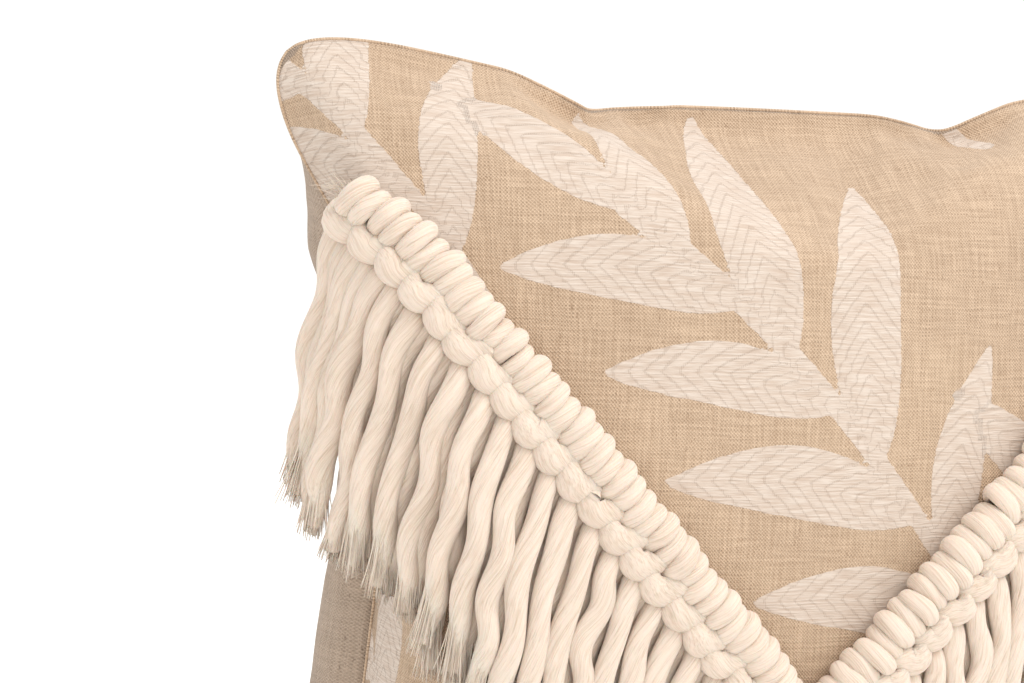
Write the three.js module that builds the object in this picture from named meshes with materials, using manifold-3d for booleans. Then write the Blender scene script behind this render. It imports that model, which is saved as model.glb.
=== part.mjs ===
// A square throw pillow that stands on its lower edge: a woven cover of two panels, a stuffed
// insert, a concealed zip in the bottom seam, and a V of folded cords knotted across the front.
// Millimetres, +Z up, the front faces -Y. The origin is on the floor, under the middle of the
// whole object, so the seam plane stands a little behind it.

import * as THREE from 'three';
import { mergeVertices } from 'three/addons/utils/BufferGeometryUtils.js';
import Module from 'manifold-3d';

// ---- Filled cover -------------------------------------------------------------------------
const coverHalfWidth = 218; // to the corner tips
const coverHalfHeight = 216; // to the corner tips, before the lower edge is pressed flat
const coverHalfDepth = 75; // at the middle
const edgePull = 26; // how far the stuffing draws in the middle of each edge
const cornerTuck = 9; // how far each corner is rounded off
const baseLift = 170; // the pillow's middle above the floor, with its lower edge pressed flat
const clothThickness = 1;
const crownFlatness = 2.8; // a higher power keeps more of the middle flat
const crownFalloff = 0.7; // a higher power falls more gently to the seam
const seamGap = 0.5; // between the edges of the two panels
const seamPlane = 9.7; // behind the origin, because the fringe adds depth to the front only
const edgeSlope = 1.4; // widthwise room for each unit of cloth, where faces meet at 45 degrees
const gridCells = 14; // cells along each side of a curved surface

// ---- Insert ------------------------------------------------------------------------------
const casingThickness = 0.8;
const layerGap = 0.6; // cover to casing, and casing to filling
const insertFloor = 8; // height of the insert's underside, clear of the zip

// ---- Zip, in the bottom seam --------------------------------------------------------------
const zipLength = 320;
const slotHalfWidth = 6.5; // between the turned-up hems
const slotEndRoom = 8; // slot past each end of the chain
const hemHeight = 5;
const tapeGap = 0.3;
const tapeThickness = 0.8;
const tapeInner = 1.2; // from the middle of the chain to each tape's edge
const tapeOuter = 11.5;
const tapeEndRoom = 10;
const toothRow = { inner: 0.2, outer: 2.6, height: 2 };
const stopLength = 2.5;
const slider = { length: 9, plate: 0.6, wall: 1.2, running: 0.3, endRoom: 2.5 };
const arch = { reach: 2.5, foot: 1, width: 1.5, bar: 0.5, drop: 1.2 };
const tab = { length: 22, width: 5, thickness: 0.7, side: 1.3, eye: 3.6, back: 0.35 };
const careLabel = { x: -90, length: 30, room: 1.5, height: 3, thickness: 0.6 };

// ---- Knotted fringe -----------------------------------------------------------------------
const knotsPerArm = 21;
const bandApex = -46; // the point of the V, from the pillow's middle
const bandShoulder = 150; // where each arm meets the side seam, above the pillow's middle
const apexRoom = 13; // from the point of the V to the first knot
const seamRoom = 14; // from the last knot to the side seam
const carrierRadius = 2.5;
const carrierEndRoom = 7;
const cordRadius = 3.2;
const cordGap = 0.4; // between a cord and what it lies on
const clothRoom = 1; // between the cloth and the cords that lie over it
const tailLength = 105;
const tailLean = 4; // degrees from vertical, towards -X
const cordSides = 6;

// ---- Materials ----------------------------------------------------------------------------
const paint = (color, roughness, metalness = 0) =>
  new THREE.MeshStandardMaterial({ color, roughness, metalness });
const frontCloth = paint(0xd8bd98, 0.9);
const backCloth = paint(0xab9782, 0.92);
const creamCord = paint(0xf2e8d8, 0.95);
const whiteCasing = paint(0xf4f2ee, 0.85);
const fibre = paint(0xffffff, 1);
const zipTape = paint(0xb8a183, 0.8);
const zipNylon = paint(0xa8926f, 0.45);
const zipMetal = paint(0x9a9690, 0.35, 1);
const labelSatin = paint(0xfafafa, 0.5);

const pillow = new THREE.Group();
pillow.position.y = seamPlane;

/** Adds one closed geometry to the pillow as a named piece. */
function addPiece(name, geometry, material) {
  const mesh = new THREE.Mesh(geometry, material);
  mesh.name = name;
  pillow.add(mesh);
}

// ---- Joining and cutting ------------------------------------------------------------------
const wasm = await Module();
wasm.setup();

/** Turns a closed geometry into a solid that can be cut and joined. */
function toSolid(geometry) {
  const bare = geometry.clone();
  bare.deleteAttribute('normal');
  bare.deleteAttribute('uv');
  const merged = mergeVertices(bare);
  const vertProperties = Float32Array.from(merged.attributes.position.array);
  const triVerts = Uint32Array.from(merged.index.array);
  return new wasm.Manifold(new wasm.Mesh({ numProp: 3, vertProperties, triVerts }));
}

/** Turns a solid back into a geometry. */
function toGeometry(solid) {
  const { vertProperties, triVerts } = solid.getMesh();
  const geometry = new THREE.BufferGeometry();
  geometry.setAttribute('position', new THREE.BufferAttribute(vertProperties, 3));
  geometry.setIndex(new THREE.BufferAttribute(triVerts, 1));
  return geometry;
}

/** A box between two opposite corners. */
function boxBetween(low, high) {
  const size = high.map((value, axis) => value - low[axis]);
  const middle = high.map((value, axis) => (value + low[axis]) / 2);
  return new THREE.BoxGeometry(...size).translate(...middle);
}

// ---- The pillow's surface -----------------------------------------------------------------
// Places on it are x and height above the pillow's middle. Each edge is drawn in at its middle,
// and the half depth falls from the middle to the seam.
const drawIn = (along, half) => edgePull * (1 - Math.min(1, Math.abs(along) / half) ** 3);

/** Half the pillow's width at a height, for a surface `inset` inside the cover. */
const halfWidthAt = (height, inset) => coverHalfWidth - drawIn(height, coverHalfHeight) - inset;

/** Half the pillow's height at an x, for a surface `inset` inside the cover. */
const halfHeightAt = (x, inset) => coverHalfHeight - drawIn(x, coverHalfWidth) - inset;

/** Half depth where u and v run from -1 to 1 across the pillow. */
function halfDepthAt(u, v, inset) {
  const across = 1 - Math.min(1, Math.abs(u)) ** crownFlatness;
  const upwards = 1 - Math.min(1, Math.abs(v)) ** crownFlatness;
  return (coverHalfDepth - inset) * (across * upwards) ** crownFalloff;
}

/** How far in front of the seam plane the cover's front is at a place. */
function frontReach(x, height) {
  return halfDepthAt(x / halfWidthAt(height, 0), height / halfHeightAt(x, 0), 0);
}

/** The closed surface of the whole pillow, `offset` inside the cover's outer face. */
function pillowSurface(offset) {
  const edgeInset = offset * edgeSlope;
  const positions = [];
  const faces = [];
  const side = gridCells + 1;
  const spread = (step) => Math.sin((step / gridCells - 0.5) * Math.PI);
  for (const sign of [-1, 1]) {
    for (let row = 0; row <= gridCells; row += 1) {
      for (let column = 0; column <= gridCells; column += 1) {
        const [u, v] = [spread(column), spread(row)];
        let [x, height] = [u * coverHalfWidth, v * coverHalfHeight];
        for (let pass = 0; pass < 8; pass += 1) {
          const width = halfWidthAt(height, edgeInset);
          height = v * halfHeightAt(x, edgeInset);
          x = u * width;
        }
        const tuck = cornerTuck * Math.abs(u * v) ** 10;
        const depth = sign * halfDepthAt(u, v, offset);
        positions.push(x - Math.sign(u) * tuck, depth, baseLift + height - Math.sign(v) * tuck);
      }
    }
    for (let row = 0; row < gridCells; row += 1) {
      for (let column = 0; column < gridCells; column += 1) {
        const corner = row * side + column + (sign > 0 ? side * side : 0);
        const quad = [corner, corner + 1, corner + side + 1, corner + side];
        if (sign > 0) quad.reverse();
        faces.push(quad[0], quad[1], quad[2], quad[0], quad[2], quad[3]);
      }
    }
  }
  const geometry = new THREE.BufferGeometry();
  geometry.setAttribute('position', new THREE.Float32BufferAttribute(positions, 3));
  geometry.setIndex(faces);
  return geometry;
}

/** The solid pillow, `offset` inside the cover, standing on a floor at the given height. */
function pillowSolid(offset, floor) {
  const below = boxBetween([-400, -400, -400], [400, 400, floor]);
  return toSolid(pillowSurface(offset)).subtract(toSolid(below));
}

/** The part of a solid on one side of the seam plane: -1 is the front, 1 the back. */
function halfOf(solid, sign) {
  const edge = -sign * (seamGap / 2);
  const other = sign < 0 ? [-edge, 400] : [-400, -edge];
  return solid.subtract(toSolid(boxBetween([-400, other[0], -400], [400, other[1], 800])));
}

// ---- Cover --------------------------------------------------------------------------------
const slotHalfLength = zipLength / 2 + slotEndRoom;
const hemOuter = slotHalfWidth + clothThickness;

/** One panel of the cover, open towards the other and turned up beside the zip. */
function coverPanel(sign) {
  const shell = halfOf(pillowSolid(0, 0), sign).subtract(pillowSolid(clothThickness, clothThickness));
  const slot = boxBetween(
    [-slotHalfLength, -slotHalfWidth, -clothThickness],
    [slotHalfLength, slotHalfWidth, hemHeight],
  );
  const [near, far] = [sign * slotHalfWidth, sign * hemOuter].sort((a, b) => a - b);
  const hem = boxBetween([-slotHalfLength, near, 0], [slotHalfLength, far, hemHeight]);
  return toGeometry(shell.subtract(toSolid(slot)).add(toSolid(hem)));
}

addPiece('front_panel', coverPanel(-1), frontCloth);
addPiece('back_panel', coverPanel(1), backCloth);

// ---- Insert -------------------------------------------------------------------------------
const casingOffset = clothThickness + layerGap;
const casingInside = casingOffset + casingThickness;

/** Half of the insert's casing. */
function casingHalf(sign) {
  const outer = halfOf(pillowSolid(casingOffset, insertFloor), sign);
  return toGeometry(outer.subtract(pillowSolid(casingInside, insertFloor + casingThickness)));
}

addPiece('insert_casing_front', casingHalf(-1), whiteCasing);
addPiece('insert_casing_back', casingHalf(1), whiteCasing);
const fillingFloor = insertFloor + casingThickness + layerGap;
addPiece('insert_filling', toGeometry(pillowSolid(casingInside + layerGap, fillingFloor)), fibre);

// ---- Zip ----------------------------------------------------------------------------------
const tapeFloor = hemHeight + tapeGap;
const toothTop = tapeFloor - tapeGap;
const toothFloor = toothTop - toothRow.height;
const tapeHalfLength = zipLength / 2 + tapeEndRoom;

/** A box on one side of the chain, between two distances from its middle. */
function besideChain(sign, xRange, inner, outer, zRange) {
  const [near, far] = [sign * inner, sign * outer].sort((a, b) => a - b);
  return boxBetween([xRange[0], near, zRange[0]], [xRange[1], far, zRange[1]]);
}

for (const [side, sign] of [['front', -1], ['back', 1]]) {
  const tapeEnds = [-tapeHalfLength, tapeHalfLength];
  const tapeHeights = [tapeFloor, tapeFloor + tapeThickness];
  addPiece(`zip_tape_${side}`, besideChain(sign, tapeEnds, tapeInner, tapeOuter, tapeHeights), zipTape);
  const chainEnds = [-zipLength / 2, zipLength / 2];
  const row = besideChain(sign, chainEnds, toothRow.inner, toothRow.outer, [toothFloor, toothTop]);
  addPiece(`zip_teeth_${side}`, row, zipNylon);
}

/** A stop clamped across the chain, starting `tapeGap` past one of its ends. */
function zipStop(sign) {
  const [near, far] = [zipLength / 2 + tapeGap, zipLength / 2 + tapeGap + stopLength];
  const [low, high] = [sign * near, sign * far].sort((a, b) => a - b);
  return boxBetween([low, -toothRow.outer, toothFloor], [high, toothRow.outer, toothTop]);
}

addPiece('zip_bottom_stop', zipStop(-1), zipMetal);
addPiece('zip_top_stop', zipStop(1), zipMetal);

// The slider is a channel under the chain. Its arch hangs below and holds the pull tab's eye.
const sliderX = zipLength / 2 - slider.length / 2 - slider.endRoom;
const channelHalf = toothRow.outer + slider.running;
const plateTop = toothFloor - slider.running;
const plateFloor = plateTop - slider.plate;
const hingeHeight = plateFloor - arch.drop / 2;
const archTop = plateFloor - arch.drop;

/** The slider: a channel, with the arch that carries the pull tab. */
function zipSlider() {
  const half = slider.length / 2;
  const outside = channelHalf + slider.wall;
  const block = boxBetween([-half, -outside, plateFloor], [half, outside, toothTop]);
  const groove = boxBetween([-half, -channelHalf, plateTop], [half, channelHalf, toothTop]);
  const ends = arch.reach + arch.foot;
  const barHalf = arch.width / 2;
  const loop = boxBetween([-ends, -barHalf, archTop - arch.bar], [ends, barHalf, plateFloor]);
  const opening = boxBetween([-arch.reach, -barHalf, archTop], [arch.reach, barHalf, plateFloor]);
  const channel = toSolid(block).subtract(toSolid(groove));
  const hoop = toSolid(loop).subtract(toSolid(opening));
  return toGeometry(channel.add(hoop)).translate(sliderX, 0, 0);
}

/** The pull tab: a plate with an eye round the arch, lying back along the closed chain. */
function pullTab() {
  const half = tab.width / 2;
  const outline = new THREE.Shape();
  outline.moveTo(tab.back, -half);
  outline.lineTo(tab.back, half);
  outline.lineTo(tab.back - tab.length + half, half);
  outline.absarc(tab.back - tab.length + half, 0, half, Math.PI / 2, Math.PI * 1.5, false);
  outline.closePath();
  const eye = new THREE.Path();
  const eyeHalf = half - tab.side;
  eye.moveTo(-tab.back, -eyeHalf);
  eye.lineTo(-tab.back - tab.eye, -eyeHalf);
  eye.lineTo(-tab.back - tab.eye, eyeHalf);
  eye.lineTo(-tab.back, eyeHalf);
  eye.closePath();
  outline.holes.push(eye);
  const plate = new THREE.ExtrudeGeometry(outline, {
    depth: tab.thickness, bevelEnabled: false, curveSegments: 6,
  });
  return plate.translate(sliderX, 0, hingeHeight - tab.thickness / 2);
}

addPiece('zip_slider', zipSlider(), zipMetal);
addPiece('zip_pull_tab', pullTab(), zipMetal);

/** The care label: it lies inside the cover, between the zip's tape and the wall of the back. */
function labelStrip() {
  const ends = [careLabel.x - careLabel.length / 2, careLabel.x + careLabel.length / 2];
  const wall = frontReach(ends[0], careLabel.height - baseLift) - edgeSlope * clothThickness;
  const heights = [careLabel.height, careLabel.height + careLabel.thickness];
  return besideChain(1, ends, tapeOuter + careLabel.room, wall - careLabel.room, heights);
}

addPiece('care_label', labelStrip(), labelSatin);

// ---- Knotted fringe -----------------------------------------------------------------------
/** Where a place on the front is in space, and which way the cloth faces there. */
function clothAt({ x, height }) {
  const step = 1;
  const acrossX = (frontReach(x + step, height) - frontReach(x - step, height)) / (2 * step);
  const acrossZ = (frontReach(x, height + step) - frontReach(x, height - step)) / (2 * step);
  const point = new THREE.Vector3(x, -frontReach(x, height), baseLift + height);
  const facing = new THREE.Vector3(-acrossX, -1, -acrossZ).normalize();
  return { point, facing };
}

/** How far forward the middle of a ball of a given radius is when it rests on the front. */
function restReach(x, height, radius) {
  let reach = 0;
  for (let ring = 0; ring <= 3; ring += 1) {
    const away = (ring / 3) * radius;
    const rise = Math.sqrt(radius * radius - away * away);
    for (let turn = 0; turn < 8; turn += 1) {
      const angle = (turn / 8) * Math.PI * 2;
      const cloth = frontReach(x + away * Math.cos(angle), height + away * Math.sin(angle));
      reach = Math.max(reach, cloth + rise);
    }
  }
  return reach;
}

/** A closed tube through the given points, with flat ends. */
function tubeThrough(points, radius) {
  const positions = [];
  const faces = [];
  const along = points.map((point, index) => {
    const before = points[Math.max(0, index - 1)];
    const after = points[Math.min(points.length - 1, index + 1)];
    return after.clone().sub(before).normalize();
  });
  const across = new THREE.Vector3(1, 0, 0);
  points.forEach((point, index) => {
    across.addScaledVector(along[index], -across.dot(along[index])).normalize();
    const upright = along[index].clone().cross(across);
    for (let step = 0; step < cordSides; step += 1) {
      const angle = (step / cordSides) * Math.PI * 2;
      const spot = point.clone()
        .addScaledVector(across, radius * Math.cos(angle))
        .addScaledVector(upright, radius * Math.sin(angle));
      positions.push(spot.x, spot.y, spot.z);
    }
  });
  for (let ring = 0; ring < points.length - 1; ring += 1) {
    for (let step = 0; step < cordSides; step += 1) {
      const near = ring * cordSides + step;
      const next = ring * cordSides + ((step + 1) % cordSides);
      faces.push(near, next, next + cordSides, near, next + cordSides, near + cordSides);
    }
  }
  const last = (points.length - 1) * cordSides;
  for (let step = 1; step < cordSides - 1; step += 1) {
    faces.push(0, step + 1, step, last, last + step, last + step + 1);
  }
  const geometry = new THREE.BufferGeometry();
  geometry.setAttribute('position', new THREE.Float32BufferAttribute(positions, 3));
  geometry.setIndex(faces);
  return geometry;
}

const armSpan = new THREE.Vector2(halfWidthAt(bandShoulder, 0), bandShoulder - bandApex);
const armLength = armSpan.length();
const knotPitch = (armLength - apexRoom - seamRoom) / (knotsPerArm - 1);
armSpan.normalize();
const innerLayer = clothRoom + cordRadius;
const carrierLayer = innerLayer + cordRadius + cordGap + carrierRadius;
const outerTailLayer = innerLayer + 2 * cordRadius + 3 * cordGap;
const foldRadius = (carrierRadius + cordGap + cordRadius) / Math.cos(Math.PI / 8);

/** A place along one arm of the V, measured from its point: -1 is the left arm, 1 the right. */
function alongArm(sign, distance) {
  return { x: sign * armSpan.x * distance, height: bandApex + armSpan.y * distance };
}

/** The points of a tail, from under its knot to its end, lying in one of the two layers. */
function tailPoints(start, layer) {
  const points = [];
  const steps = 4;
  const lean = Math.tan(THREE.MathUtils.degToRad(tailLean));
  let reach = 0;
  for (let step = 1; step <= steps; step += 1) {
    const drop = (step / steps) * tailLength;
    const [x, height] = [start.x - lean * drop, start.z - baseLift - drop];
    reach = Math.max(reach, restReach(x, height, layer), -start.y);
    points.push(new THREE.Vector3(x, -reach, start.z - drop));
  }
  return points;
}

/** One cord folded over the carrier, with both of its tails hanging below the band. */
function fringeCord(sign, distance) {
  const { point, facing } = clothAt(alongArm(sign, distance));
  const along = clothAt(alongArm(sign, distance + 1)).point.sub(point).normalize();
  const up = along.cross(facing).multiplyScalar(-sign).normalize();
  const carrier = point.clone().addScaledVector(facing, carrierLayer);
  const place = (rise, out) => carrier.clone().addScaledVector(up, rise).addScaledVector(facing, out);
  const fold = [-2, -1, 0, 1, 2].map((step) => {
    const angle = (step * Math.PI) / 4;
    return place(foldRadius * Math.cos(angle), foldRadius * Math.sin(angle));
  });
  const under = -(carrierRadius + 2 * cordRadius + cordGap);
  const inner = place(under, -foldRadius);
  const outer = place(under, outerTailLayer - carrierLayer);
  const path = [...tailPoints(inner, innerLayer).reverse(), inner, ...fold, outer];
  return tubeThrough([...path, ...tailPoints(outer, outerTailLayer)], cordRadius);
}

/** The carrier cord's middle line over one arm, from the point of the V outwards. */
function carrierArm(sign) {
  const points = [];
  const steps = 12;
  for (let step = 1; step <= steps; step += 1) {
    const distance = (step / steps) * (armLength - carrierEndRoom);
    const { point, facing } = clothAt(alongArm(sign, distance));
    points.push(point.addScaledVector(facing, carrierLayer));
  }
  return points;
}

const bandPoint = clothAt(alongArm(1, 0));
const carrierMiddle = bandPoint.point.addScaledVector(bandPoint.facing, carrierLayer);
const carrierLine = [...carrierArm(-1).reverse(), carrierMiddle, ...carrierArm(1)];
addPiece('carrier_cord', tubeThrough(carrierLine, carrierRadius), creamCord);

for (const [side, sign] of [['left', -1], ['right', 1]]) {
  for (let knot = 0; knot < knotsPerArm; knot += 1) {
    const name = `fringe_cord_${side}_${String(knot + 1).padStart(2, '0')}`;
    addPiece(name, fringeCord(sign, apexRoom + knot * knotPitch), creamCord);
  }
}

export default pillow;
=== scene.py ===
"""A square throw pillow with a knotted V of cotton fringe, dressed over its CAD frame.

The cover is cut flat, filled by a cloth simulation and stood on its lower edge. The insert, the
zip, the care label and the fringe are then fitted to it. Sizes are in millimetres in the
dataclasses and in metres in the meshes. The front faces -Y and the floor is at z = 0.
"""

import logging
import math
from dataclasses import dataclass, field
from enum import Enum

import bpy
import numpy as np
from mathutils import Matrix, Vector


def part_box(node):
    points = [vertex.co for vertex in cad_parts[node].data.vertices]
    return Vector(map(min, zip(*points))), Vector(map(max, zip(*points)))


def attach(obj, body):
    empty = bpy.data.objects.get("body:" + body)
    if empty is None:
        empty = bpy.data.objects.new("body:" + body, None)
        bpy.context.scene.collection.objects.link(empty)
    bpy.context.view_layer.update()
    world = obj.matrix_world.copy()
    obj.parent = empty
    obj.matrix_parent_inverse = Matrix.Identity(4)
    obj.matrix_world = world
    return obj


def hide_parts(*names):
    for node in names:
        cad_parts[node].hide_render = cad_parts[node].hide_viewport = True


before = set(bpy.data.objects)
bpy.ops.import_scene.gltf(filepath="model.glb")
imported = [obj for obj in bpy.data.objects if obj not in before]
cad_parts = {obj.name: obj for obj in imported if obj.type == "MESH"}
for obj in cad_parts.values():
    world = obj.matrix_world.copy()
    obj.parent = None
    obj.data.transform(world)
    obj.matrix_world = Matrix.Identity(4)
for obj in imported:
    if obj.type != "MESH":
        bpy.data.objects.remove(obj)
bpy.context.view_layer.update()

MM = 0.001
log = logging.getLogger("pillow")


def rgb(red: float, green: float, blue: float) -> tuple[float, float, float, float]:
    """Turns display colour values into the linear ones a shader takes."""
    linear = [c / 12.92 if c <= 0.04045 else ((c + 0.055) / 1.055) ** 2.4 for c in (red, green, blue)]
    return (*linear, 1.0)


def unit(vectors: np.ndarray) -> np.ndarray:
    """Scales vectors along the last axis to length one."""
    return vectors / np.maximum(np.linalg.norm(vectors, axis=-1, keepdims=True), 1e-12)


def smooth(low: float, high: float, value: np.ndarray) -> np.ndarray:
    """A smooth step from 0 at `low` to 1 at `high`."""
    share = np.clip((np.asarray(value, float) - low) / (high - low), 0.0, 1.0)
    return share * share * (3 - 2 * share)


class Body(Enum):
    """The moving bodies of the frame."""

    COVER = "cover"
    SLIDER = "slider"
    PULL = "pull_tab"


class Slot(Enum):
    """The material slots."""

    FRONT = "front_cloth"
    BACK = "back_cloth"
    CORD = "cream_cord"
    CASING = "casing_cloth"
    FILLING = "filling"
    TAPE = "zip_tape"
    NYLON = "zip_nylon"
    METAL = "zip_metal"
    SATIN = "label_satin"


# ---- Shaders --------------------------------------------------------------------------------


class Value:
    """A socket whose numbers can be worked with like Python's."""

    def __init__(self, shader: "Shader", socket: bpy.types.NodeSocket) -> None:
        """Holds the socket and the shader that it is in."""
        self.shader = shader
        self.socket = socket

    def _math(self, operation: str, *operands: object, flip: bool = False) -> "Value":
        """One Math node, with this value first, or second where `flip` is set."""
        values = [self, *operands]
        if flip:
            values.reverse()
        node = self.shader.node("ShaderNodeMath", {"operation": operation}, dict(enumerate(values)))
        return Value(self.shader, node.outputs[0])

    def __add__(self, other: object) -> "Value":
        """The sum."""
        return self._math("ADD", other)

    __radd__ = __add__

    def __sub__(self, other: object) -> "Value":
        """The difference."""
        return self._math("SUBTRACT", other)

    def __rsub__(self, other: object) -> "Value":
        """The difference, from a plain number."""
        return self._math("SUBTRACT", other, flip=True)

    def __mul__(self, other: object) -> "Value":
        """The product."""
        return self._math("MULTIPLY", other)

    __rmul__ = __mul__

    def __truediv__(self, other: object) -> "Value":
        """The quotient."""
        return self._math("DIVIDE", other)

    def __rtruediv__(self, other: object) -> "Value":
        """The quotient of a plain number."""
        return self._math("DIVIDE", other, flip=True)

    def __pow__(self, other: object) -> "Value":
        """The power."""
        return self._math("POWER", other)

    def __rpow__(self, other: object) -> "Value":
        """The power of a plain number."""
        return self._math("POWER", other, flip=True)

    def __neg__(self) -> "Value":
        """The value with its sign turned."""
        return self._math("MULTIPLY", -1.0)

    def __abs__(self) -> "Value":
        """The size without the sign."""
        return self._math("ABSOLUTE")

    def __lt__(self, other: object) -> "Value":
        """1 where it is less, and 0 elsewhere."""
        return self._math("LESS_THAN", other)

    def __gt__(self, other: object) -> "Value":
        """1 where it is more, and 0 elsewhere."""
        return self._math("GREATER_THAN", other)

    def sine(self) -> "Value":
        """The sine, of radians."""
        return self._math("SINE")

    def floor(self) -> "Value":
        """The whole number at or below."""
        return self._math("FLOOR")

    def fraction(self) -> "Value":
        """What is left above the whole number."""
        return self._math("FRACT")

    def ramp(self, low: float, high: float) -> "Value":
        """A smooth step from 0 at `low` to 1 at `high`."""
        inputs = {0: self, 1: low, 2: high, 3: 0.0, 4: 1.0}
        node = self.shader.node("ShaderNodeMapRange", {"interpolation_type": "SMOOTHSTEP"}, inputs)
        return Value(self.shader, node.outputs[0])


class Shader:
    """A material and the nodes that are added to it."""

    def __init__(self, name: str) -> None:
        """Makes an empty material with one surface."""
        self.material = bpy.data.materials.new(name)
        self.material.use_nodes = True
        self.tree = self.material.node_tree
        self.tree.nodes.clear()
        self.surface = self.node("ShaderNodeBsdfPrincipled")
        self.node("ShaderNodeOutputMaterial", inputs={"Surface": self.surface.outputs[0]})

    def node(self, kind: str, settings: dict | None = None, inputs: dict | None = None) -> bpy.types.Node:
        """Adds a node, sets it up and fills its inputs.

        Args:
            kind: the node's type.
            settings: its properties by name.
            inputs: its inputs by name or number, each a value or a socket.

        Returns:
            The node.
        """
        node = self.tree.nodes.new(kind)
        for key, value in (settings or {}).items():
            setattr(node, key, value)
        for key, value in (inputs or {}).items():
            value = value.socket if isinstance(value, Value) else value
            if isinstance(value, bpy.types.NodeSocket):
                self.tree.links.new(value, node.inputs[key])
            else:
                node.inputs[key].default_value = value
        return node

    def attribute(self, name: str) -> bpy.types.Node:
        """A value stored on the mesh."""
        return self.node("ShaderNodeAttribute", {"attribute_name": name})

    def split(self, vector: object) -> list[Value]:
        """The three parts of a vector."""
        node = self.node("ShaderNodeSeparateXYZ", inputs={0: vector})
        return [Value(self, output) for output in node.outputs]

    def join(self, x: object, y: object, z: object) -> Value:
        """A vector of three parts."""
        return Value(self, self.node("ShaderNodeCombineXYZ", inputs={0: x, 1: y, 2: z}).outputs[0])

    def noise(self, vector: object, scale: float, detail: float = 2.0, rough: float = 0.5) -> Value:
        """Smooth noise about 0.5."""
        inputs = {"Vector": vector, "Scale": scale, "Detail": detail, "Roughness": rough}
        return Value(self, self.node("ShaderNodeTexNoise", inputs=inputs).outputs[0])

    def mix(self, share: object, first: object, second: object) -> Value:
        """One colour turning into another."""
        node = self.node("ShaderNodeMix", {"data_type": "RGBA"}, {0: share, 6: first, 7: second})
        return Value(self, node.outputs[2])

    def finish(self, colour: object, height: object = None, depth: float = 0.0,
               **constants: object) -> bpy.types.Material:
        """Connects the colour and the bump, and sets the constants.

        Args:
            colour: the base colour.
            height: the bump's height from 0 to 1, if it has one.
            depth: the depth of the bump in metres.
            constants: the surface's fixed inputs, with underscores for spaces.

        Returns:
            The finished material.
        """
        self.tree.links.new(colour.socket, self.surface.inputs["Base Color"])
        if height is not None:
            bump = self.node("ShaderNodeBump", inputs={"Height": height, "Distance": depth, "Strength": 1.0})
            self.tree.links.new(bump.outputs[0], self.surface.inputs["Normal"])
        for key, value in constants.items():
            socket = self.surface.inputs[key.replace("_", " ")]
            if isinstance(value, Value):
                self.tree.links.new(value.socket, socket)
            else:
                socket.default_value = value
        return self.material


@dataclass(frozen=True)
class Linen:
    """A plain weave of uneven yarns, with or without leaves woven in as floats."""

    name: str
    ground: tuple = rgb(0.905, 0.80, 0.69)
    shade: tuple = rgb(0.56, 0.45, 0.35)
    fleck: tuple = rgb(0.55, 0.43, 0.33)
    leaf: tuple = rgb(0.84, 0.79, 0.745)
    leaf_shade: tuple = rgb(0.755, 0.68, 0.62)
    pitch: float = 0.72
    leaves: bool = False

    def make(self) -> bpy.types.Material:
        """Builds the material over the `cloth` attribute, which is in millimetres.

        Returns:
            The cloth.
        """
        s = Shader(self.name)
        across, up, _ = s.split(s.attribute("cloth").outputs["Vector"])
        wander = s.noise(s.join(across, up, 0.0), 0.05, 2.0)
        across = across + wander * 3.0
        up = up + wander * 2.0
        warp_yarn = s.noise(s.join(across * 0.9, up * 0.045, 3.0), 1.0, 2.0, 0.6)
        weft_yarn = s.noise(s.join(across * 0.045, up * 0.9, 9.0), 1.0, 2.0, 0.6)
        turn = 2 * math.pi / self.pitch
        warp = (across * turn).sine() * 0.5 + 0.5
        weft = (up * turn).sine() * 0.5 + 0.5
        yarn = warp_yarn.ramp(0.3, 0.72) * 0.5 + weft_yarn.ramp(0.3, 0.72) * 0.5
        checks = (across * (turn / 2)).sine() * (up * (turn / 2)).sine() * 0.5 + 0.5
        height = checks * 0.5 + yarn * 0.5
        patch = s.noise(s.join(across, up, 1.0), 0.012, 1.0)
        colour = s.mix(height * 0.75 + patch * 0.25, self.shade, self.ground)
        speck = s.noise(s.join(across * 1.3, up * 0.55, 5.0), 0.9, 1.0).ramp(0.69, 0.76)
        colour = s.mix(speck * 0.55, colour, self.fleck)
        if self.leaves:
            form, vein, _ = s.split(s.attribute("leaf").outputs["Vector"])
            row = (up / 1.1).floor()
            jitter = s.noise(s.join(row * 7.31, across * 0.02, 2.0), 1.0, 0.0) - 0.5
            inside = (form + jitter * 1.1).ramp(-0.15, 0.25)
            floats = s.noise(s.join(across * 0.08, up * 1.5, 4.0), 1.0, 2.0, 0.6)
            line = (vein / 7.0).fraction()
            dots = (abs(line - 0.5) < 0.085) * (warp > 0.35)
            float_colour = s.mix(floats.ramp(0.3, 0.7), self.leaf_shade, self.leaf)
            float_colour = s.mix(dots * 0.24, float_colour, self.shade)
            colour = s.mix(inside * 0.93, colour, float_colour)
            height = height * (1.0 - inside) + (floats * 0.7 + 0.35 - dots * 0.35) * inside
        return s.finish(colour, height, 0.0007, Roughness=0.92, Sheen_Weight=0.15, Sheen_Roughness=0.6,
                        Specular_IOR_Level=0.2)


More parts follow.
